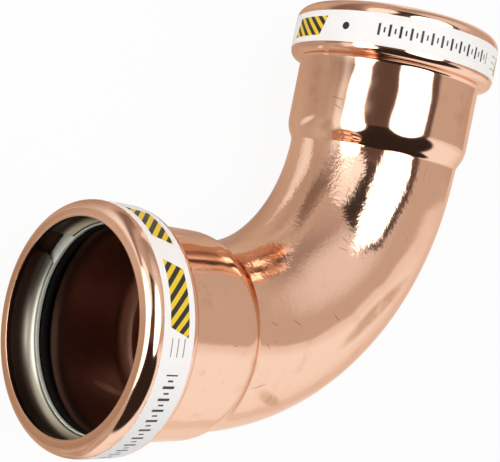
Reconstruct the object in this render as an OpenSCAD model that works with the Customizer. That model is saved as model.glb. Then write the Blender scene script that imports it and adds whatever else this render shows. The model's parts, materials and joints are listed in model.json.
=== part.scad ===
// Copper press elbow: a 90 degree bend with a press socket at each end.
// It lies on its side. End A opens along -Y and end B along -X, with both axes level.
// The origin is under the middle of the elbow, on the surface that it lies on.
// Distances along a leg are measured from its mouth inwards.

/* [Tube] */
// Outside diameter of the tube that both sockets take, and of the bend
tube_od = 66.675; // [54:0.025:80]
// Wall thickness of the drawn copper
wall = 2.2; // [1.6:0.1:2.8]
// Gap all round between the tube and its socket
socket_clearance = 0.35; // [0.1:0.05:0.6]

/* [Bend] */
// Radius of the bend, on its centre line
bend_radius = 79; // [60:1:130]

/* [Socket] */
// Length of the plain socket wall that guides the tube
socket_land = 22.7; // [12:0.1:45]
// Rounding of the shoulder, where the socket narrows down to the bend
shoulder_radius = 13; // [6:0.5:20]

/* [Bead] */
// Gap all round between the tube and the edge of the mouth
mouth_clearance = 1.15; // [0.6:0.05:1.8]
// Depth faced off the rolled lip, which leaves it a flat cut face
lip_trim = 0.26; // [0.05:0.01:0.5]
// Inside rounding between the lip and the crown of the bead
front_radius = 2.2; // [0.6:0.1:3]
// Inside rounding between the crown and the back of the bead
back_radius = 0.8; // [0.3:0.1:1]
// Outside rounding between the back of the bead and the socket
neck_radius = 1.5; // [0.3:0.1:2]
// Gap between the rings and the groove, and between one ring and the next
ring_clearance = 0.15; // [0.05:0.05:0.3]

/* [Seal ring] */
// Thickness of the round rubber section
seal_section = 4.5; // [4.3:0.1:6]
// Gap all round between the tube and the seal before pressing
seal_clearance = 0.2; // [0.1:0.05:0.5]

/* [Separator ring] */
// Thickness of the washer between the seal and the grip ring
separator_thickness = 1.3; // [0.5:0.1:2]
// Gap all round between the tube and the washer
separator_clearance = 0.45; // [0.2:0.05:1]

/* [Grip ring] */
// Width of the ring along the axis
grip_width = 9.1; // [8:0.1:12]
// Thickness of the steel strip
grip_thickness = 1.3; // [0.8:0.1:1.6]
// Gap all round between the tube and the edge that bites into it
grip_clearance = 0.65; // [0.4:0.05:1.2]
// Inside rounding of the flank that curves in to the biting edge
grip_curve = 6; // [5:0.1:8]
// Width of the split in the ring
grip_gap = 10.5; // [4:0.5:20]
// Bevel on the biting edge, at both sides of the split
grip_bevel = 2.2; // [0.5:0.1:3]
// Angle of the split about the axis of end A
grip_turn_a = 129; // [0:1:359]
// Angle of the split about the axis of end B
grip_turn_b = 40; // [0:1:359]

/* [Label] */
// Thickness of the label
label_thickness = 0.15; // [0.05:0.05:0.4]
// Bare strip of crown at each edge of the label
label_margin = 0.4; // [0.1:0.05:2]
// Length by which the end of the label laps over its start
label_overlap = 12; // [4:1:30]
// Angle of the lapped end about the axis of end A
label_turn_a = 273; // [0:1:359]
// Angle of the lapped end about the axis of end B
label_turn_b = 169; // [0:1:359]

/* [Hidden] */
$fn = 96;

// How far a cutting shape runs past the face that it cuts
cut = 1;

// Radii, from the tube outwards
tube_r = tube_od / 2;
bend_bore_r = tube_r - wall;
socket_bore_r = tube_r + socket_clearance;
socket_r = socket_bore_r + wall;
mouth_r = tube_r + mouth_clearance;
seal_r = tube_r + seal_clearance + seal_section / 2;
ring_r = tube_r + seal_clearance + seal_section;
groove_r = ring_r + ring_clearance;
bead_r = groove_r + wall;
label_r = bead_r + label_thickness;

// The rings lie one behind the other in the groove, which is as long as they need
groove_at = wall - lip_trim;
grip_at = groove_at + ring_clearance;
separator_at = grip_at + grip_width + ring_clearance;
seal_at = separator_at + separator_thickness + ring_clearance;
groove_end = seal_at + seal_section + ring_clearance;
bead_end = groove_end + wall;

// Roundings of the bead, with the wall as thick in the curves as elsewhere
crown_front = front_radius + wall;
crown_back = back_radius + wall;
crown_at = crown_front - lip_trim;
neck = min(neck_radius, bead_r - socket_r - crown_back);

// The shoulder is an arc off the socket, down to the crease where the bend starts
shoulder_at = bead_end + neck + socket_land;
crease_at = shoulder_at + shoulder_run(socket_r, tube_r, shoulder_radius);
reach = crease_at + bend_radius;
// Angle by which the bend runs on into each leg, so that the two become one piece
bend_lap = cut / bend_radius * 180 / PI;

// The grip ring: a band on the groove's wall, then a flank that curves in to the biting edge
grip_end = grip_at + grip_width;
grip_curve_r = ring_r - grip_thickness - grip_curve;
grip_edge_r = tube_r + grip_clearance;
grip_band_end = grip_end - sqrt(grip_curve ^ 2 - (grip_edge_r - grip_curve_r) ^ 2);
grip_gap_angle = 2 * asin(grip_gap / 2 / ring_r);

label_at = crown_at + label_margin;
label_width = bead_end - crown_back - label_margin - label_at;
label_overlap_angle = label_overlap / label_r * 180 / PI;

// Length along the axis of a shoulder that falls from one radius to another
function shoulder_run(r, r_end, round) = sqrt(round ^ 2 - (r_end - r + round) ^ 2);

// Moves a ring or a leg, drawn along +Z from its mouth, to one end of the elbow
module at_end_a() {
    translate([0, -reach, 0]) rotate([-90, 0, 0]) children();
}
module at_end_b() {
    translate([-reach, 0, 0]) rotate([0, 90, 0]) children();
}

// Half section of a drum on the Y axis, with both of its rims rounded
module drum_section(r, from, to, front, back) {
    translate([0, from]) square([r - front, front]);
    translate([0, from + front]) square([r, to - back - from - front]);
    translate([0, to - back]) square([r - back, back]);
    translate([r - front, from + front]) circle(front);
    translate([r - back, to - back]) circle(back);
}

// Half section of a hollow curve that leads a drum's flat end onto a cylinder of radius r
module cove_section(r, from, round) {
    difference() {
        translate([0, from]) square([r + round, round]);
        translate([r + round, from + round]) circle(round);
    }
}

// Half section of a socket of radius r and of its shoulder, which meets the bend's radius at the
// crease and runs on past it
module socket_section(r, from, bend_r, round) {
    start = crease_at - shoulder_run(r, bend_r, round);
    end = crease_at + cut;
    intersection() {
        translate([0, from]) square([r + cut, end - from]);
        union() {
            square([r, start]);
            square([r - round, end]);
            translate([r - round, start]) circle(round);
        }
    }
}

// Outside of one leg, from the mouth to the crease, with its lip faced off at the mouth
module leg_section() {
    difference() {
        drum_section(bead_r, -lip_trim, bead_end, crown_front, crown_back);
        translate([0, -cut]) square([bead_r, cut]);
    }
    cove_section(socket_r, bead_end, neck);
    socket_section(socket_r, crown_at, tube_r, shoulder_radius);
}

// Inside of one leg: the mouth, the groove for the rings, the socket and the tube stop
module leg_bore_section() {
    translate([0, -cut]) square([mouth_r, wall + 2 * cut]);
    drum_section(groove_r, groove_at, groove_end, front_radius, back_radius);
    cove_section(socket_bore_r, groove_end, neck + wall);
    socket_section(socket_bore_r, crown_at, bend_bore_r, shoulder_radius - wall);
}

module bend(r) {
    translate([-bend_radius, -bend_radius, 0])
        rotate([0, 0, -bend_lap])
            rotate_extrude(angle = 90 + 2 * bend_lap)
                translate([bend_radius, 0]) circle(r);
}

// Half section of the room that the rings have: the groove, less their clearance
module ring_room_section() {
    drum_section(ring_r, grip_at, groove_end - ring_clearance,
                 front_radius - ring_clearance, back_radius - ring_clearance);
}

// Half section of the drum under the grip ring's strip, or round it: a band, then a curve inwards
module grip_drum_section(r, round) {
    square([r, grip_band_end]);
    translate([grip_curve_r, grip_band_end]) circle(round);
}

module grip_section() {
    intersection() {
        translate([grip_curve_r, grip_at]) square([ring_r + cut - grip_curve_r, grip_width]);
        ring_room_section();
        difference() {
            grip_drum_section(ring_r, grip_curve + grip_thickness);
            grip_drum_section(ring_r - grip_thickness, grip_curve);
        }
    }
}

// Cuts the corner off the biting edge, at the side of the split that lies along +X
module edge_bevel() {
    translate([grip_edge_r - cut, 0, grip_end])
        rotate([90, 0, 90])
            linear_extrude(ring_r - grip_edge_r + 2 * cut)
                polygon([[-cut, -grip_bevel - cut], [-cut, cut], [grip_bevel + cut, cut]]);
}

// The pieces, each drawn in the frame of its end apart from the body
module body() {
    color([0.80, 0.52, 0.40])
        difference() {
            union() {
                at_end_a() rotate_extrude() leg_section();
                at_end_b() rotate_extrude() leg_section();
                bend(tube_r);
            }
            at_end_a() rotate_extrude() leg_bore_section();
            at_end_b() rotate_extrude() leg_bore_section();
            bend(bend_bore_r);
        }
}

module seal_ring() {
    color([0.07, 0.07, 0.07])
        rotate_extrude()
            translate([seal_r, seal_at + seal_section / 2]) circle(seal_section / 2);
}

module separator_ring() {
    inner = tube_r + separator_clearance;
    color([0.90, 0.91, 0.85])
        rotate_extrude()
            translate([inner, separator_at]) square([ring_r - inner, separator_thickness]);
}

module grip_ring(turn) {
    color([0.70, 0.70, 0.68])
        rotate([0, 0, turn])
            difference() {
                rotate([0, 0, grip_gap_angle / 2])
                    rotate_extrude(angle = 360 - grip_gap_angle) grip_section();
                rotate([0, 0, grip_gap_angle / 2]) edge_bevel();
                mirror([0, 1, 0]) rotate([0, 0, grip_gap_angle / 2]) edge_bevel();
            }
}

module label_band(turn) {
    color([0.96, 0.96, 0.95])
        difference() {
            rotate_extrude()
                translate([bead_r, label_at]) square([2 * label_thickness, label_width]);
            rotate([0, 0, turn + label_overlap_angle])
                rotate_extrude(angle = 360 - label_overlap_angle)
                    translate([label_r, label_at - cut])
                        square([label_thickness + cut, label_width + 2 * cut]);
        }
}

// Stands the elbow on the surface, with its middle over the origin
module lay_flat() {
    middle = (reach - label_r) / 2;
    translate([middle, middle, label_r]) children();
}

lay_flat() body();
lay_flat() at_end_a() seal_ring();  // seal_ring_a
lay_flat() at_end_a() separator_ring();  // separator_ring_a
lay_flat() at_end_a() grip_ring(grip_turn_a);  // grip_ring_a
lay_flat() at_end_a() label_band(label_turn_a);  // label_band_a
lay_flat() at_end_b() seal_ring();  // seal_ring_b
lay_flat() at_end_b() separator_ring();  // separator_ring_b
lay_flat() at_end_b() grip_ring(grip_turn_b);  // grip_ring_b
lay_flat() at_end_b() label_band(label_turn_b);  // label_band_b
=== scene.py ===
"""Looks of the copper press elbow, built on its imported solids. Everything is in metres."""
import json
import math

import bmesh
import bpy
from mathutils import Matrix, Vector


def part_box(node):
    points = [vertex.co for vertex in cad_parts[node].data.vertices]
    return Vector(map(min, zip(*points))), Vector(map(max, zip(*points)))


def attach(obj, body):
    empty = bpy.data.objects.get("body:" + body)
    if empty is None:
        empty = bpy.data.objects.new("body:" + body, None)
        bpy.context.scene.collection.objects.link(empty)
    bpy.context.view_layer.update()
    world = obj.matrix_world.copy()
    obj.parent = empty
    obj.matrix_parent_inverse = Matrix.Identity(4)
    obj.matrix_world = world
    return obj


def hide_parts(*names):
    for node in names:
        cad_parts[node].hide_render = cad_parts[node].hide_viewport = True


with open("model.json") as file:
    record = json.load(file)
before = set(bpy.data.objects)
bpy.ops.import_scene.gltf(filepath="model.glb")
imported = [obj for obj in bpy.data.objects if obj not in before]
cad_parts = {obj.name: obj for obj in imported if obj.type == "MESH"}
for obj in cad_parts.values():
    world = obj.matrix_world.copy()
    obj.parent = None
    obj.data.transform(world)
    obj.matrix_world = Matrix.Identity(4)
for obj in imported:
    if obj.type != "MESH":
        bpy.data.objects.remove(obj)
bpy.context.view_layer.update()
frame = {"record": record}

MM = 0.001
TURN = math.tau

# Sizes of the fitting, as in the part's source
TUBE_R = 66.675 / 2 * MM
WALL = 2.2 * MM
BEND_RADIUS = 79 * MM
SHOULDER_RADIUS = 13 * MM
MOUTH_CLEARANCE = 1.15 * MM
LIP_TRIM = 0.26 * MM
FRONT_RADIUS = 2.2 * MM
BACK_RADIUS = 0.8 * MM
NECK_RADIUS = 1.5 * MM
RING_CLEARANCE = 0.15 * MM
SEPARATOR_CLEARANCE = 0.45 * MM
GRIP_THICKNESS = 1.3 * MM
GRIP_CLEARANCE = 0.65 * MM
GRIP_CURVE = 6 * MM
GRIP_GAP = 10.5 * MM
GRIP_BEVEL = 2.2 * MM
GRIP_TURN = {"a": 129, "b": 40}
LABEL_THICKNESS = 0.15 * MM
LABEL_OVERLAP = 12 * MM
LABEL_TURN = {"a": 273, "b": 169}

# Softened edges that the solids leave sharp
LIP_EDGE = 0.25 * MM
LIP_CORNER = 0.12 * MM
CREASE_EDGE = 5 * MM
STOP_EDGE = 0.8 * MM
WASHER_EDGE = 0.15 * MM

# Length over which the end of the label rises onto its start
LABEL_RAMP = 2.4 * MM

# How finely round shapes are divided
ROUND_STEPS = 160
BEND_STEPS = 64
SEAL_STEPS = 40
LABEL_ROWS = 4

# Points nearer to each other than this become one, and edges with a larger angle stay sharp
MERGE = 0.002 * MM
SHARP_ANGLE = math.radians(32)

# Where the elbow is: the corner where its two axes meet, and how far the mouths are from it
body_low, body_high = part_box("body")
mount_a, mount_b = frame["record"]["mounts"]
CORNER = Vector((mount_a["pos_m"][0], mount_b["pos_m"][1], mount_a["pos_m"][2]))
REACH = CORNER.y - body_low.y


def span(node):
    """Where a ring of end A starts and ends, measured from the mouth inwards."""
    low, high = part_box(node)
    return low.y - body_low.y, high.y - body_low.y


# Radii and places along a leg
BEAD_R = (body_high.z - body_low.z) / 2
SOCKET_BORE_R = mount_a["dims"]["r_mm"] * MM
SOCKET_R = SOCKET_BORE_R + WALL
BEND_BORE_R = TUBE_R - WALL
MOUTH_R = TUBE_R + MOUTH_CLEARANCE
GROOVE_R = BEAD_R - WALL
RING_R = GROOVE_R - RING_CLEARANCE
GROOVE_AT = WALL - LIP_TRIM
GRIP_END = span("grip_ring_a")[1]
SEPARATOR_AT, SEPARATOR_END = span("separator_ring_a")
SEAL_AT, SEAL_END = span("seal_ring_a")
LABEL_AT, LABEL_END = span("label_band_a")
GROOVE_END = SEAL_END + RING_CLEARANCE
BEAD_END = GROOVE_END + WALL
CREASE_AT = REACH - BEND_RADIUS
BEND_MIDDLE = CORNER - Vector((BEND_RADIUS, BEND_RADIUS, 0))

# Turns a leg or a ring, drawn along +Z from the mouth, to one end of the elbow
TO_END = {
    "a": Matrix.Translation(CORNER - Vector((0, REACH, 0))) @ Matrix.Rotation(-TURN / 4, 4, "X"),
    "b": Matrix.Translation(CORNER - Vector((REACH, 0, 0))) @ Matrix.Rotation(TURN / 4, 4, "Y"),
}

# Changes X and Y over, which turns a leg of end A into one of end B
CHANGE_ENDS = Matrix(((0, 1, 0, 0), (1, 0, 0, 0), (0, 0, 1, 0), (0, 0, 0, 1)))


def new_camera():
    """The camera at the photograph's viewing angle."""
    eye = Vector((0.000696, -0.267279, 0.291118))
    view = Vector((0.01415, 0.70935, -0.70471)).normalized()
    up = Vector((-0.98047, -0.12843, -0.14896))
    right = view.cross(up).normalized()
    turned = Matrix((right, right.cross(view), -view)).transposed().to_4x4()
    data = bpy.data.cameras.new("camera")
    data.sensor_fit = "HORIZONTAL"
    data.sensor_width = 36
    data.lens = 71.13
    data.clip_start = 0.01
    camera = bpy.data.objects.new("camera", data)
    camera.matrix_world = Matrix.Translation(eye) @ turned
    bpy.context.scene.collection.objects.link(camera)
    bpy.context.scene.camera = camera


def verts_in(items):
    """The vertices among the items that a bmesh operator gives."""
    return [item for item in items if isinstance(item, bmesh.types.BMVert)]


class Section:
    """A wire drawn in the half plane of a turned piece, with X as the radius and Z as the depth."""

    def __init__(self, bm, radius, depth):
        """Starts the wire at a point."""
        self.bm = bm
        self.end = bm.verts.new((radius, 0, depth))

    def line(self, radius, depth, pieces=1):
        """Runs straight on to a point."""
        run = (Vector((radius, 0, depth)) - self.end.co) / pieces
        for _ in range(pieces):
            vert = self.bm.verts.new(self.end.co + run)
            self.bm.edges.new((self.end, vert))
            self.end = vert

    def arc(self, radius, depth, degrees, steps=8):
        """Runs on round a centre. A positive angle turns from the depth axis towards the radius."""
        made = bmesh.ops.spin(
            self.bm, geom=[self.end], cent=(radius, 0, depth), axis=(0, 1, 0),
            angle=math.radians(degrees), steps=steps)
        self.end = verts_in(made["geom_last"])[0]


def turn_round(bm, turn=TURN):
    """Spins all that is drawn about the leg's axis."""
    bmesh.ops.spin(
        bm, geom=bm.verts[:] + bm.edges[:], cent=(0, 0, 0), axis=(0, 0, 1), angle=turn, steps=ROUND_STEPS,
        use_merge=turn == TURN)


def new_piece(name, bm, node, materials):
    """Makes a smooth piece from a bmesh. It rides on the part in the place of a solid."""
    bmesh.ops.remove_doubles(bm, verts=bm.verts, dist=MERGE)
    bmesh.ops.recalc_face_normals(bm, faces=bm.faces)
    mesh = bpy.data.meshes.new(name)
    bm.to_mesh(mesh)
    bm.free()
    mesh.shade_smooth()
    mesh.set_sharp_from_angle(angle=SHARP_ANGLE)
    for material in materials:
        mesh.materials.append(material)
    piece = bpy.data.objects.new(name, mesh)
    bpy.context.scene.collection.objects.link(piece)
    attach(piece, "root")
    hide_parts(node)


def shoulder_fall(shoulder, edge):
    """The length of a shoulder whose crease is rounded too, and the degrees that each of the two turns."""
    turn = math.acos(1 - (SOCKET_R - TUBE_R) / (shoulder + edge))
    return (shoulder + edge) * math.sin(turn), math.degrees(turn)


def outer_section(bm):
    """The outside of a leg: crease, shoulder, socket, neck, bead and lip, from the bend to the mouth."""
    shoulder_at = CREASE_AT - shoulder_fall(SHOULDER_RADIUS, 0)[0]
    fall, drop = shoulder_fall(SHOULDER_RADIUS, CREASE_EDGE)
    crown = FRONT_RADIUS + WALL
    crown_at = crown - LIP_TRIM
    crown_turn = math.asin(crown_at / crown)
    corner_turn = LIP_CORNER / crown
    lip_r = BEAD_R - crown + crown * math.cos(crown_turn)
    crown_back = BACK_RADIUS + WALL
    leg = Section(bm, TUBE_R, shoulder_at + fall)
    leg.arc(TUBE_R + CREASE_EDGE, shoulder_at + fall, -drop)
    leg.arc(SOCKET_R - SHOULDER_RADIUS, shoulder_at, drop, steps=14)
    leg.line(SOCKET_R, BEAD_END + NECK_RADIUS, pieces=10)
    leg.arc(SOCKET_R + NECK_RADIUS, BEAD_END + NECK_RADIUS, -90)
    leg.arc(BEAD_R - crown_back, BEAD_END - crown_back, 90, steps=14)
    leg.line(BEAD_R, crown_at, pieces=8)
    leg.arc(BEAD_R - crown, crown_at, math.degrees(crown_turn - corner_turn), steps=16)
    leg.arc(BEAD_R - crown, crown_at, math.degrees(corner_turn), steps=1)
    leg.line(lip_r - LIP_CORNER, 0)
    leg.line(MOUTH_R + LIP_EDGE, 0, pieces=3)
    leg.arc(MOUTH_R + LIP_EDGE, LIP_EDGE, 90, steps=4)


def inner_section(bm):
    """The inside of a leg: lip, groove for the rings, socket and tube stop, from mouth to crease."""
    shoulder = SHOULDER_RADIUS - WALL
    fall, drop = shoulder_fall(shoulder, STOP_EDGE)
    shoulder_at = CREASE_AT - fall
    cove = NECK_RADIUS + WALL
    leg = Section(bm, MOUTH_R, LIP_EDGE)
    leg.line(MOUTH_R, GROOVE_AT - LIP_EDGE)
    leg.arc(MOUTH_R + LIP_EDGE, GROOVE_AT - LIP_EDGE, 90, steps=4)
    leg.line(GROOVE_R - FRONT_RADIUS, GROOVE_AT)
    leg.arc(GROOVE_R - FRONT_RADIUS, GROOVE_AT + FRONT_RADIUS, -90)
    leg.line(GROOVE_R, GROOVE_END - BACK_RADIUS, pieces=6)
    leg.arc(GROOVE_R - BACK_RADIUS, GROOVE_END - BACK_RADIUS, -90)
    leg.arc(SOCKET_BORE_R + cove, GROOVE_END + cove, 90, steps=10)
    leg.line(SOCKET_BORE_R, shoulder_at, pieces=10)
    leg.arc(SOCKET_BORE_R - shoulder, shoulder_at, -drop, steps=12)
    leg.arc(BEND_BORE_R + STOP_EDGE, CREASE_AT, drop, steps=4)


def elbow_skin(draw_section, index):
    """One skin of the elbow: a turned leg, the bend swept on from its rim, and the other leg."""
    bm = bmesh.new()
    draw_section(bm)
    turn_round(bm)
    rim_at = max(v.co.z for v in bm.verts)
    rim = [e for e in bm.edges if all(abs(v.co.z - rim_at) < MERGE for v in e.verts)]
    bmesh.ops.transform(bm, matrix=TO_END["a"], verts=bm.verts)
    # What the rounded crease has past the start of the bend follows the bend
    for vert in bm.verts:
        past = vert.co.y - BEND_MIDDLE.y
        if past > 0:
            arm = vert.co - BEND_MIDDLE - Vector((0, past, 0))
            vert.co = BEND_MIDDLE + Matrix.Rotation(past / BEND_RADIUS, 3, "Z") @ arm
    other = bmesh.ops.duplicate(bm, geom=bm.verts[:] + bm.edges[:] + bm.faces[:])["geom"]
    bmesh.ops.transform(bm, matrix=CHANGE_ENDS, verts=verts_in(other))
    sweep = TURN / 4 - 2 * (rim_at - CREASE_AT) / BEND_RADIUS
    bmesh.ops.spin(bm, geom=rim, cent=BEND_MIDDLE, axis=(0, 0, 1), angle=sweep, steps=BEND_STEPS)
    for face in bm.faces:
        face.material_index = index
    return bm


def copper_body(outside, inside):
    """The bent copper body: an outer and an inner skin that meet at the lips."""
    bm = elbow_skin(outer_section, 0)
    inner = elbow_skin(inner_section, 1)
    mesh = bpy.data.meshes.new("bore")
    inner.to_mesh(mesh)
    inner.free()
    bm.from_mesh(mesh)
    bpy.data.meshes.remove(mesh)
    new_piece("copper_body", bm, "body", [outside, inside])


def rubber_seal(end, material):
    """A round rubber ring."""
    bm = bmesh.new()
    section = (SEAL_END - SEAL_AT) / 2
    middle = Matrix.Translation((RING_R - section, 0, SEAL_AT + section))
    upright = Matrix.Rotation(TURN / 4, 4, "X")
    bmesh.ops.create_circle(bm, radius=section, segments=SEAL_STEPS, matrix=middle @ upright)
    turn_round(bm)
    bmesh.ops.transform(bm, matrix=TO_END[end], verts=bm.verts)
    new_piece(f"rubber_seal_{end}", bm, f"seal_ring_{end}", [material])


def separator_washer(end, material):
    """A flat plastic washer with rounded edges."""
    bm = bmesh.new()
    inner = TUBE_R + SEPARATOR_CLEARANCE
    edge = WASHER_EDGE
    washer = Section(bm, inner, SEPARATOR_AT + edge)
    washer.line(inner, SEPARATOR_END - edge)
    washer.arc(inner + edge, SEPARATOR_END - edge, 90, steps=3)
    washer.line(RING_R - edge, SEPARATOR_END)
    washer.arc(RING_R - edge, SEPARATOR_END - edge, 90, steps=3)
    washer.line(RING_R, SEPARATOR_AT + edge)
    washer.arc(RING_R - edge, SEPARATOR_AT + edge, 90, steps=3)
    washer.line(inner + edge, SEPARATOR_AT)
    washer.arc(inner + edge, SEPARATOR_AT + edge, 90, steps=3)
    turn_round(bm)
    bmesh.ops.transform(bm, matrix=TO_END[end], verts=bm.verts)
    new_piece(f"separator_washer_{end}", bm, f"separator_ring_{end}", [material])


def grip_spring(end, material):
    """A split steel ring: a band in the groove, then a flank that curves in to the biting edge."""
    bm = bmesh.new()
    inner = RING_R - GRIP_THICKNESS
    curve_r = inner - GRIP_CURVE
    edge_r = TUBE_R + GRIP_CLEARANCE
    inner_sweep = math.acos((edge_r - curve_r) / GRIP_CURVE)
    band_end = GRIP_END - GRIP_CURVE * math.sin(inner_sweep)
    outer_sweep = math.asin((GRIP_END - band_end) / (GRIP_CURVE + GRIP_THICKNESS))
    corner = FRONT_RADIUS - RING_CLEARANCE
    corner_sweep = math.acos((inner - RING_R + corner) / corner)
    corner_at = GROOVE_AT + RING_CLEARANCE + corner
    band_at = corner_at - corner * math.sin(corner_sweep)
    strip = Section(bm, inner, band_at)
    strip.arc(RING_R - corner, corner_at, -math.degrees(corner_sweep), steps=6)
    strip.line(RING_R, band_end, pieces=2)
    strip.arc(curve_r, band_end, -math.degrees(outer_sweep), steps=10)
    strip.line(edge_r, GRIP_END)
    strip.arc(curve_r, band_end, math.degrees(inner_sweep), steps=10)
    strip.line(inner, band_at, pieces=3)
    gap = 2 * math.asin(GRIP_GAP / 2 / RING_R)
    turn_round(bm, TURN - gap)
    bmesh.ops.remove_doubles(bm, verts=bm.verts, dist=MERGE)
    bmesh.ops.holes_fill(bm, edges=[e for e in bm.edges if e.is_boundary])
    trim_biting_corners(bm, gap)
    placed = TO_END[end] @ Matrix.Rotation(math.radians(GRIP_TURN[end]) + gap / 2, 4, "Z")
    bmesh.ops.transform(bm, matrix=placed, verts=bm.verts)
    new_piece(f"grip_spring_{end}", bm, f"grip_ring_{end}", [material])


def trim_biting_corners(bm, gap):
    """Cuts the corner off the biting edge at both sides of the split."""
    for angle, side in ((0, 1), (TURN - gap, -1)):
        out = Vector((math.cos(angle), math.sin(angle), 0))
        along = Vector((-math.sin(angle), math.cos(angle), 0)) * side
        middles = {f: f.calc_center_median() for f in bm.faces}
        near = [f for f in bm.faces if middles[f].dot(out) > RING_R / 2 and middles[f].dot(along) > -MERGE]
        geom = {item for f in near for item in (f, *f.edges, *f.verts)}
        bevel_at = out * RING_R + Vector((0, 0, GRIP_END - GRIP_BEVEL))
        bmesh.ops.bisect_plane(
            bm, geom=list(geom), dist=MERGE, plane_co=bevel_at, plane_no=Vector((0, 0, 1)) - along,
            clear_outer=True)
        bmesh.ops.holes_fill(bm, edges=[e for e in bm.edges if e.is_boundary])


def label_wrap(end, material):
    """A printed strip wrapped round the bead. Its end rises and laps over its start."""
    bm = bmesh.new()
    label_r = BEAD_R + LABEL_THICKNESS
    way_round = TURN * label_r
    length = way_round + LABEL_OVERLAP
    width = LABEL_END - LABEL_AT
    steps = round(ROUND_STEPS * length / way_round)
    bmesh.ops.create_grid(bm, x_segments=steps, y_segments=LABEL_ROWS, size=0.5)
    print_map = bm.loops.layers.uv.new("print")
    for face in bm.faces:
        for loop in face.loops:
            along = (loop.vert.co.x + 0.5) * length - LABEL_OVERLAP
            loop[print_map].uv = (along / MM, (loop.vert.co.y + 0.5) * width / MM)
    seam = math.radians(LABEL_TURN[end])
    lap_at = way_round - LABEL_OVERLAP
    for vert in bm.verts:
        along = (vert.co.x + 0.5) * length - LABEL_OVERLAP
        risen = min(max((along - lap_at + LABEL_RAMP) / LABEL_RAMP, 0), 1)
        radius = BEAD_R + risen * LABEL_THICKNESS
        angle = seam - along / label_r
        depth = LABEL_AT + (vert.co.y + 0.5) * width
        vert.co = (radius * math.cos(angle), radius * math.sin(angle), depth)
    made = bmesh.ops.extrude_face_region(bm, geom=bm.faces[:])["geom"]
    grow = label_r / BEAD_R
    bmesh.ops.scale(bm, verts=verts_in(made), vec=(grow, grow, 1))
    bmesh.ops.transform(bm, matrix=TO_END[end], verts=bm.verts)
    new_piece(f"label_wrap_{end}", bm, f"label_band_{end}", [material])


class Value:
    """A node's output in a material or a world. Arithmetic on it adds Math nodes."""

    def __init__(self, tree, socket=None):
        self.tree = tree
        self.socket = socket

    def node(self, kind, settings=None, inputs=None, output=0):
        """Adds a node, makes its settings, then gives its sockets their values or links."""
        made = self.tree.nodes.new("ShaderNode" + kind)
        for name, setting in (settings or {}).items():
            setattr(made, name, setting)
        for name, value in (inputs or {}).items():
            if isinstance(value, Value):
                self.tree.links.new(value.socket, made.inputs[name])
            else:
                made.inputs[name].default_value = value
        return Value(self.tree, made.outputs[output] if made.outputs else None)

    def math(self, operation, first, second):
        """Adds a Math node."""
        return self.node("Math", {"operation": operation}, {0: first, 1: second})

    def __add__(self, other):
        return self.math("ADD", self, other)

    def __radd__(self, other):
        return self.math("ADD", other, self)

    def __sub__(self, other):
        return self.math("SUBTRACT", self, other)

    def __rsub__(self, other):
        return self.math("SUBTRACT", other, self)

    def __mul__(self, other):
        return self.math("MULTIPLY", self, other)

    def __rmul__(self, other):
        return self.math("MULTIPLY", other, self)

    def __truediv__(self, other):
        return self.math("DIVIDE", self, other)

    def __rtruediv__(self, other):
        return self.math("DIVIDE", other, self)

    def most(self, other):
        """The larger of two values."""
        return self.math("MAXIMUM", self, other)

    def least(self, other):
        """The smaller of two values."""
        return self.math("MINIMUM", self, other)

    def wave(self, half):
        """Goes evenly from 0 up to half and back, over and over."""
        return self.math("PINGPONG", self, half)

    def rise(self, low, high):
        """0 below low, 1 above high, and smooth in between."""
        limits = {"Value": self, "From Min": low, "From Max": high}
        return self.node("MapRange", {"interpolation_type": "SMOOTHSTEP"}, limits)

    def within(self, low, high, soft):
        """1 between two limits and 0 outside them, with soft edges."""
        return self.rise(low - soft, low + soft) - self.rise(high - soft, high + soft)

    def dot(self, way):
        """How far a place is along a direction."""
        return self.node("VectorMath", {"operation": "DOT_PRODUCT"}, {0: self, 1: way}, "Value")

    def scaled(self, scale):
        """A place with each of its coordinates multiplied."""
        return self.node("VectorMath", {"operation": "MULTIPLY"}, {0: self, 1: scale})

    def distance(self, point):
        """How far a place is from a point."""
        return self.node("VectorMath", {"operation": "DISTANCE"}, {0: self, 1: point}, "Value")

    def noise(self, scale, detail=2.0, roughness=0.5):
        """Cloudy noise, where self is the place and scale is in blobs for each metre."""
        return self.node(
            "TexNoise", {}, {"Vector": self, "Scale": scale, "Detail": detail, "Roughness": roughness})

    def grain(self, scale, detail=2.0):
        """Noise along a line, where self is a length and scale is in blobs for each metre."""
        return self.node(
            "TexNoise", {"noise_dimensions": "1D"}, {"W": self, "Scale": scale, "Detail": detail})

    def blend(self, first, second):
        """A colour between two, where self says how far along."""
        return self.node("Mix", {"data_type": "RGBA"}, {0: self, 6: first, 7: second}, 2)

    def bump(self, depth, below=None):
        """The surface's normal with self as its height, where 1 is depth metres high."""
        under = {"Normal": below} if below else {}
        return self.node("Bump", {}, {"Height": self, "Distance": depth, **under})


# The studio's own directions, as the photograph has them
STUDIO_UP = Vector((-1, 0, 0))
STUDIO_FRONT = Vector((0, -1, 1)).normalized()
STUDIO_RIGHT = STUDIO_UP.cross(STUDIO_FRONT)
STUDIO_MIDDLE = Vector((0, 0, CORNER.z))

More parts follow.
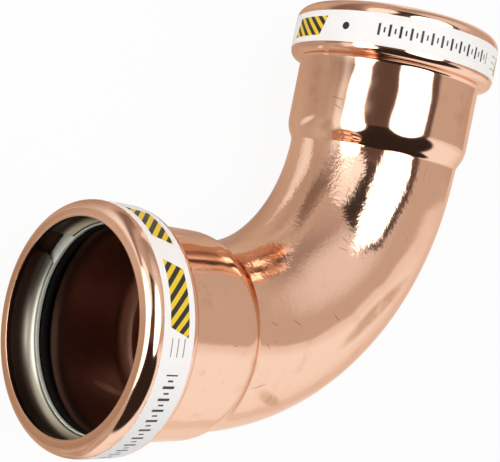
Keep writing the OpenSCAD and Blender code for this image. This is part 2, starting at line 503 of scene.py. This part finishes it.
# Colours of the studio
WHITE = (1, 1, 1, 1)
ROOM_SIDE = (0.59, 0.495, 0.43, 1)
ROOM_TOP_LEFT = (0.5, 0.4, 0.365, 1)
ROOM_TOP_RIGHT = (0.34, 0.265, 0.245, 1)
ROOM_GLOW = (0.84, 0.78, 0.76, 1)
WALL_LIT = (1.25, 1.22, 1.2, 1)
TABLE_FAR = (0.88, 0.815, 0.78, 1)
SCREEN_LOW = (0.125, 0.08, 0.062, 1)
SCREEN_HIGH = (0.045, 0.034, 0.03, 1)
FRONT_DARK = (0.03, 0.021, 0.017, 1)
FLOOR_PAPER = (0.9, 0.9, 0.9, 1)
FLOOR_SHADE = (0.49, 0.395, 0.335, 1)
FLOOR_HALF_LIT = (0.64, 0.54, 0.46, 1)
FLOOR_DIM = (0.25, 0.18, 0.15, 1)

# How much of the floor's white the camera sees as light of its own. The rest takes the shadow
FLOOR_GLOW = 0.93

# A white streak on the floor: its ends and its half width in mm
FLOOR_STREAK = ((-31, 8, 0), (-46, -26, 0), 6)


def studio_way(azimuth, elevation):
    """A direction in the studio: azimuth from the front to the right, elevation from level to up."""
    a = math.radians(azimuth)
    e = math.radians(elevation)
    level = STUDIO_FRONT * math.cos(a) + STUDIO_RIGHT * math.sin(a)
    return level * math.cos(e) + STUDIO_UP * math.sin(e)


def softbox(name, azimuth, elevation, distance, width, height, radiance, roll=0, mirrored=True):
    """A round softbox that faces the elbow. Its width and height are in degrees, as the elbow sees it."""
    way = studio_way(azimuth, elevation)
    data = bpy.data.lights.new(name, "AREA")
    data.shape = "ELLIPSE"
    data.size = 2 * distance * math.tan(math.radians(width / 2))
    data.size_y = 2 * distance * math.tan(math.radians(height / 2))
    data.energy = radiance * math.pi * math.pi * data.size * data.size_y / 4
    lamp = bpy.data.objects.new(name, data)
    up = STUDIO_UP - way * STUDIO_UP.dot(way)
    up.normalize()
    turned = Matrix((up.cross(way), up, way)).transposed().to_4x4()
    turned = turned @ Matrix.Rotation(math.radians(roll), 4, "Z")
    lamp.matrix_world = Matrix.Translation(STUDIO_MIDDLE + way * distance) @ turned
    lamp.visible_camera = False
    lamp.visible_glossy = mirrored
    bpy.context.scene.collection.objects.link(lamp)


def disc(ray, azimuth, elevation, radius, soft):
    """1 where a ray goes into a disc of the studio, 0 elsewhere. Its sizes are in degrees."""
    low = math.cos(math.radians(radius + soft))
    high = math.cos(math.radians(radius - soft))
    return ray.dot(studio_way(azimuth, elevation)).rise(low, high)


def dark_oval(ray):
    """1 where a ray goes into the dark oval at the front of the studio, 0 elsewhere."""
    middle = studio_way(10, -35)
    above = studio_way(10, 55)
    ahead = ray.dot(middle).most(0.05)
    over = ray.dot(above) / ahead
    beside = ray.dot(middle.cross(above)) / ahead
    oval = (over * over) / 0.58 + (beside * beside) / 3.0
    return 1 - oval.rise(0.75, 1.2)


def studio_look(ray):
    """A warm grey room with a white table below it, a dark screen, a lit wall and a dark front."""
    up = ray.dot(STUDIO_UP)
    top = ray.dot(STUDIO_RIGHT).rise(-0.3, 0.3).blend(ROOM_TOP_LEFT, ROOM_TOP_RIGHT)
    room = up.rise(0.65, 1.05).blend(ROOM_SIDE, top)
    glow = disc(ray, azimuth=56, elevation=42, radius=18, soft=18)
    room = glow.blend(room, ROOM_GLOW)
    far = (0 - ray.dot(STUDIO_FRONT)).rise(0.4, 0.85).most(up.rise(-0.16, 0))
    look = up.rise(0, 0.055).blend(far.blend(WHITE, TABLE_FAR), room)
    screen_left = disc(ray, azimuth=6, elevation=12, radius=38, soft=2)
    screen_right = disc(ray, azimuth=34, elevation=9, radius=28, soft=2)
    screen = up.rise(0.05, 0.55).blend(SCREEN_LOW, SCREEN_HIGH)
    look = screen_left.most(screen_right).blend(look, screen)
    lit_wall = disc(ray, azimuth=-29, elevation=29, radius=18, soft=3)
    look = lit_wall.blend(look, WALL_LIT)
    return dark_oval(ray).blend(look, FRONT_DARK)


def studio_world():
    """The studio round the elbow. The camera sees plain white."""
    world = bpy.data.worlds.new("studio")
    bpy.context.scene.world = world
    world.use_nodes = True
    world.node_tree.nodes.clear()
    sky = Value(world.node_tree)
    look = studio_look(sky.node("TexCoord", output="Generated"))
    look = sky.node("LightPath", output="Is Camera Ray").blend(look, WHITE)
    light = sky.node("Background", {}, {"Color": look})
    sky.node("OutputWorld", {}, {"Surface": light})


def streak(place, start, end, width):
    """1 in the middle of a streak between two points, fading to 0 at its sides. All are in mm."""
    start = Vector(start) * MM
    end = Vector(end) * MM
    way = (end - start).normalized()
    middle = (start + end) / 2
    half = (end - start).length / 2
    along = place.dot(way) - middle.dot(way)
    away = place.distance(middle)
    side = (away * away - along * along) / (width * MM) ** 2
    return 1 - (side + along * along / half ** 2).rise(0, 1)


def new_material(name):
    """A material that has no nodes yet, and the value that adds them."""
    material = bpy.data.materials.new(name)
    material.use_nodes = True
    material.node_tree.nodes.clear()
    return material, Value(material.node_tree)


def floor_look(place):
    """The floor as metal mirrors it: white behind the elbow, shaded in front, with a white card there."""
    east = place.dot((1, 0, 0))
    north = place.dot((0, 1, 0))
    west = 0 - east
    south = (0 - north).most(0.01)
    lit = (north + 0.1 * east + 0.4 * east.most(0)).rise(0.015, 0.07)
    card = south.rise(0.08, 0.15) * (east + 0.085 + 0.05 * south).rise(-0.04, 0.04)
    card = card * (1 - (east / south).rise(0.2, 0.34))
    card = card.most(0.9 * streak(place, *FLOOR_STREAK))
    shade = place.noise(24, 0).rise(0.25, 0.75).blend(FLOOR_SHADE, FLOOR_HALF_LIT)
    dim = west.rise(0.06, 0.095) * (1 - west.rise(0.1, 0.5)) * south.rise(0.015, 0.045)
    shade = dim.blend(shade, FLOOR_DIM)
    return lit.most(card).blend(shade, north.rise(0.1, 0.24).blend(WHITE, TABLE_FAR))


def floor():
    """A pale floor, which the camera sees white with the elbow's shadow."""
    bm = bmesh.new()
    bmesh.ops.create_grid(bm, x_segments=1, y_segments=1, size=3)
    mesh = bpy.data.meshes.new("floor")
    bm.to_mesh(mesh)
    bm.free()
    material, ground = new_material("floor")
    seen = ground.node("LightPath", output="Is Camera Ray")
    mirrored = ground.node("LightPath", output="Is Glossy Ray")
    through = ground.node("LightPath", output="Is Transmission Ray")
    look = floor_look(ground.node("TexCoord", output="Object"))
    look = seen.blend(look, WHITE)
    paper = ground.node("BsdfDiffuse", {}, {"Color": FLOOR_PAPER})
    white = ground.node("Emission", {}, {"Color": look, "Strength": 1})
    share = (FLOOR_GLOW * seen).most(mirrored.most(through))
    shown = ground.node("MixShader", {}, {0: share, 1: paper, 2: white})
    ground.node("OutputMaterial", {}, {"Surface": shown})
    mesh.materials.append(material)
    piece = bpy.data.objects.new("floor", mesh)
    bpy.context.scene.collection.objects.link(piece)


def finish(name, paint, settings):
    """A new material. paint gives what varies over the surface, and settings are the same all over."""
    material, surface = new_material(name)
    place = surface.node("TexCoord", output="Object")
    shader = surface.node("BsdfPrincipled", {}, {**settings, **paint(place)})
    surface.node("OutputMaterial", {}, {"Surface": shader})
    return material


def mouth_depths(place):
    """How far a place is from the plane of each mouth."""
    return place.dot((0, 1, 0)) - body_low.y, place.dot((1, 0, 0)) - body_low.x


# Colours of the finishes. COPPER_RIM is how copper mirrors where it is seen edge on
COPPER_DEEP = (0.935, 0.615, 0.455, 1)
COPPER_PALE = (0.96, 0.65, 0.49, 1)
COPPER_RIM = (0.89, 0.75, 0.66, 1)
COPPER_STAIN = (0.64, 0.37, 0.235, 1)
COPPER_SCRATCH = (0.25, 0.13, 0.08, 1)
CUT_DEEP = (0.53, 0.29, 0.18, 1)
CUT_PALE = (0.83, 0.52, 0.36, 1)
BORE_DEEP = (0.36, 0.19, 0.14, 1)
BORE_PALE = (0.52, 0.3, 0.23, 1)
BORE_RUBBED = (0.85, 0.52, 0.4, 1)
# Painted shade for the groove and the cove behind the rings
GROOVE_PAINTED_SHADE = (0.065, 0.03, 0.021, 1)
RUBBER_DEEP = (0.004, 0.004, 0.004, 1)
RUBBER_PALE = (0.011, 0.011, 0.011, 1)
STEEL_DEEP = (0.56, 0.54, 0.44, 1)
STEEL_PALE = (0.72, 0.7, 0.58, 1)
# Painted shade on the grip ring's band under the lip
STEEL_BAND_PAINTED_SHADE = (0.24, 0.185, 0.15, 1)
# Painted shadow line along the grip ring's biting edge
STEEL_EDGE_PAINTED_SHADOW = (0.12, 0.12, 0.1, 1)
PLASTIC_DEEP = (0.76, 0.79, 0.67, 1)
PLASTIC_PALE = (0.86, 0.88, 0.77, 1)
PAPER_DEEP = (0.9, 0.9, 0.89, 1)
PAPER_PALE = (0.94, 0.94, 0.93, 1)
PRINT_YELLOW = (0.86, 0.6, 0.02, 1)
PRINT_BLACK = (0.02, 0.02, 0.02, 1)

# Rubbed and stained places of the copper: the ends of each and its half width, in mm
RUBBED_BEND = ((-33, 11, 48), (-8, 14, 60), 8)
RUBBED_BORE = ((67.8, -53.5, 15.8), (72.4, -40, 20.6), 2)
STAIN_BEND = ((43, 4, 73), (8, 44, 73), 4)
STAIN_SOCKET = ((55, -31, 72), (63, -10, 67), 3)

# Half width of the deeper scratches, and where their ends are, in mm
SCRATCH_WIDTH = 0.3
SCRATCHES = [
    ((32.9, -28.7, 71.8), (34.5, -24.8, 72.4)), ((31.5, -18.7, 71.7), (33.8, -13.1, 72.8)),
    ((27.6, 0.4, 72.9), (31.2, 5.0, 73.7)), ((39.6, -30.6, 73.4), (42.2, -28.4, 73.8)),
    ((0.8, 7.8, 63.1), (4.2, 10.7, 67.1)), ((5.0, 5.7, 64.4), (6.0, 9.5, 67.3)),
    ((56.0, -33.2, 72.0), (53.5, -24.3, 72.7)), ((-49.7, 9.3, 44.1), (-48.4, 10.5, 50.7)),
    ((-46.9, 9.5, 46.0), (-44.9, 10.4, 50.2)), ((41.0, -48.1, 76.2), (41.2, -46.4, 76.2))]


def bright_copper(place):
    """Bright drawn copper: rippled where it was bent, a little smudged, satin on the cut lips."""
    depth_a, depth_b = mouth_depths(place)
    lip_a = 1 - depth_a.rise(0.02 * MM, 0.08 * MM)
    lip_b = 1 - depth_b.rise(0.02 * MM, 0.08 * MM)
    lip = lip_a.most(lip_b)
    radius_a = place.scaled((1, 0, 1)).distance((CORNER.x, 0, CORNER.z))
    radius_b = place.scaled((0, 1, 1)).distance((0, CORNER.y, CORNER.z))
    facing = (lip_a * radius_a + lip_b * radius_b).grain(2400)
    bent = (depth_a.least(depth_b) - CREASE_AT).rise(-1 * MM, 4 * MM)
    from_middle = place.scaled((1, 1, 0)).distance((BEND_MIDDLE.x, BEND_MIDDLE.y, 0))
    rippled = bent * (1.6 - 0.6 * from_middle.rise(50 * MM, 58 * MM) - from_middle.rise(68 * MM, 75 * MM))
    rubbed = streak(place, *RUBBED_BEND)
    clouds = place.noise(40, 3)
    smudge = place.noise(75, 4, 0.6).rise(0.56, 0.78)
    stain = streak(place, *STAIN_BEND).most(streak(place, *STAIN_SOCKET))
    stain = stain * (0.3 + 0.9 * place.noise(85, 3, 0.6).rise(0.35, 0.65))
    turned = {"Vector": place, "Rotation": (0.3, 0.5, 0.8), "Scale": (170, 2600, 2600)}
    scratch = place.node("Mapping", {}, turned).noise(1, 1).rise(0.75, 0.78)
    for start, end in SCRATCHES:
        scratch = scratch.most(streak(place, start, end, SCRATCH_WIDTH))
    skin = clouds.blend(COPPER_DEEP, COPPER_PALE)
    skin = (0.45 * smudge).most(stain).blend(skin, COPPER_STAIN)
    skin = (0.6 * scratch).blend(skin, COPPER_SCRATCH)
    cut = facing.rise(0.3, 0.7).blend(CUT_DEEP, CUT_PALE)
    satin = 0.075 + 0.04 * clouds + 0.1 * smudge + 0.12 * scratch + 0.1 * rubbed
    roughness = satin + lip * (0.24 + 0.12 * facing)
    dents = place.noise(48, 1).bump(0.6 * MM)
    ripple = ((0.1 + rippled) * place.noise(560, 2)).bump(0.05 * MM, dents)
    ripple = (rubbed * place.noise(900, 4)).bump(0.16 * MM, ripple)
    return {"Base Color": lip.blend(skin, cut), "Roughness": roughness, "Normal": ripple}


def bore_copper(place):
    """The inside of the copper: dull from annealing, with painted shade in the groove that fades out past
    it, and rubbed at the tube stop.
    """
    depth_a, depth_b = mouth_depths(place)
    depth = depth_a.least(depth_b)
    deep = depth.rise(GROOVE_END, GROOVE_END + 9 * MM)
    rubbed = depth.within(CREASE_AT - 3 * MM, CREASE_AT + 1 * MM, 2 * MM)
    rubbed = rubbed.most(streak(place, *RUBBED_BORE))
    clouds = place.noise(90, 3)
    streaks = place.scaled((1, 1, 0.3)).noise(260, 2)
    colour = rubbed.blend(clouds.blend(BORE_DEEP, BORE_PALE), BORE_RUBBED)
    # Painted shade: near black in the groove, fading out over 9 mm past its end
    colour = deep.blend(GROOVE_PAINTED_SHADE, colour)
    return {"Base Color": colour, "Roughness": 0.42 - 0.14 * deep + 0.14 * streaks}


def black_rubber(place):
    """Matt black rubber with a fine mottle."""
    mottle = place.noise(900, 3)
    colour = mottle.blend(RUBBER_DEEP, RUBBER_PALE)
    return {"Base Color": colour, "Roughness": 0.6 + 0.2 * mottle}


def strip_steel(place):
    """Rolled stainless strip, grained along the ring: a band darkened with painted shade, a bright flank,
    and a painted shadow line at the edge.
    """
    depth_a, depth_b = mouth_depths(place)
    depth = depth_a.least(depth_b)
    rolled = depth.grain(2600)
    clouds = place.noise(160, 3)
    # Painted shade: the band under the lip is darkened, and the flank keeps the steel's colour
    flank = depth.rise(GRIP_END - 3 * MM, GRIP_END - 1.4 * MM)
    # Painted shadow: a dark line along the biting edge, next to the gap to the washer
    edge = depth.rise(GRIP_END - 0.5 * MM, GRIP_END - 0.2 * MM)
    colour = flank.blend(STEEL_BAND_PAINTED_SHADE, rolled.blend(STEEL_DEEP, STEEL_PALE))
    colour = edge.blend(colour, STEEL_EDGE_PAINTED_SHADOW)
    return {"Base Color": colour, "Roughness": 0.28 + 0.1 * clouds + 0.06 * rolled}


def pale_plastic(place):
    """Moulded plastic, almost white, with a satin surface."""
    moulded = place.noise(1300, 3)
    clouds = place.noise(120, 2)
    colour = clouds.blend(PLASTIC_DEEP, PLASTIC_PALE)
    return {"Base Color": colour, "Roughness": 0.36 + 0.12 * moulded, "Normal": moulded.bump(0.006 * MM)}


# The label's print, in mm along it from its seam and across it from its front edge
INK_EDGE = 0.07
BLOCKS_ALONG = ((12, 33), (42, 59), (165, 183))
BLOCKS_ACROSS = (2.3, 9.5)
BLOCK_SLANT = 0.4
STRIPE_SLOPE = 0.9
STRIPE_WIDTH = 2.1
SCALE_ALONG = (203, 252)
TICK_GAP = 2
DOT_AT = (191, 5.8, 0)
DOT_RADIUS = 1.4
LINES_ALONG = (2.5, 8)
LINES_ACROSS = ((3.2, 3.6), (5.6, 6), (8, 8.4))

# The tall and the short ticks of the scale: where the first is, half its width, and where it is across
TICKS = ((204, 0.45, (3.6, 8)), (206, 0.3, (4.8, 6.8)))


def beyond(value, limit):
    """1 where a length in the print is beyond a limit, with the ink's soft edge."""
    return value.rise(limit - INK_EDGE, limit + INK_EDGE)


def label_paper(place):
    """White label stock with a plain print: striped blocks, a scale, a dot and fine lines."""
    sheet = place.node("UVMap", {"uv_map": "print"})
    along = sheet.dot((1, 0, 0))
    across = sheet.dot((0, 1, 0))
    slant = along + BLOCK_SLANT * across
    block = sum(slant.within(low, high, INK_EDGE) for low, high in BLOCKS_ALONG)
    block = block * across.within(*BLOCKS_ACROSS, INK_EDGE)
    stripe = block * beyond((STRIPE_SLOPE * along - across).wave(STRIPE_WIDTH), STRIPE_WIDTH / 2)
    ticks = sum(
        (1 - beyond((along - first).wave(TICK_GAP), half)) * across.within(*rows, INK_EDGE)
        for first, half, rows in TICKS)
    scale = along.within(*SCALE_ALONG, INK_EDGE) * ticks
    dot = 1 - beyond(sheet.distance(DOT_AT), DOT_RADIUS)
    lines = sum(across.within(low, high, INK_EDGE) for low, high in LINES_ACROSS)
    lines = 0.75 * lines * along.within(*LINES_ALONG, INK_EDGE)
    ink = stripe.most(scale).most(dot.most(lines))
    clouds = place.noise(180, 3)
    paper = clouds.blend(PAPER_DEEP, PAPER_PALE)
    colour = ink.blend(block.blend(paper, PRINT_YELLOW), PRINT_BLACK)
    fibre = place.noise(1500, 2)
    roughness = 0.4 + 0.1 * fibre - 0.1 * ink
    return {"Base Color": colour, "Roughness": roughness, "Normal": fibre.bump(0.004 * MM)}


bpy.context.scene.view_settings.view_transform = "Standard"
new_camera()
studio_world()
floor()
softbox(
    "softbox_right", azimuth=32, elevation=15, distance=0.6, width=44, height=52, radiance=2.6)
softbox(
    "softbox_left", azimuth=-39, elevation=-2, distance=0.4, width=40, height=48, radiance=2.4, roll=-10)
softbox(
    "fill_left", azimuth=-48, elevation=-5, distance=0.5, width=50, height=50, radiance=1.2,
    mirrored=False)
softbox(
    "fill_right", azimuth=75, elevation=-25, distance=0.6, width=60, height=60, radiance=0.7,
    mirrored=False)

copper = finish("bright_copper", bright_copper, {"Metallic": 1.0, "Specular Tint": COPPER_RIM})
bore = finish("bore_copper", bore_copper, {"Metallic": 1.0})
rubber = finish("black_rubber", black_rubber, {"Specular IOR Level": 0.12})
steel = finish("strip_steel", strip_steel, {"Metallic": 1.0})
plastic = finish("pale_plastic", pale_plastic, {})
paper = finish("label_paper", label_paper, {})

copper_body(copper, bore)
for end in "ab":
    rubber_seal(end, rubber)
    separator_washer(end, plastic)
    grip_spring(end, steel)
    label_wrap(end, paper)
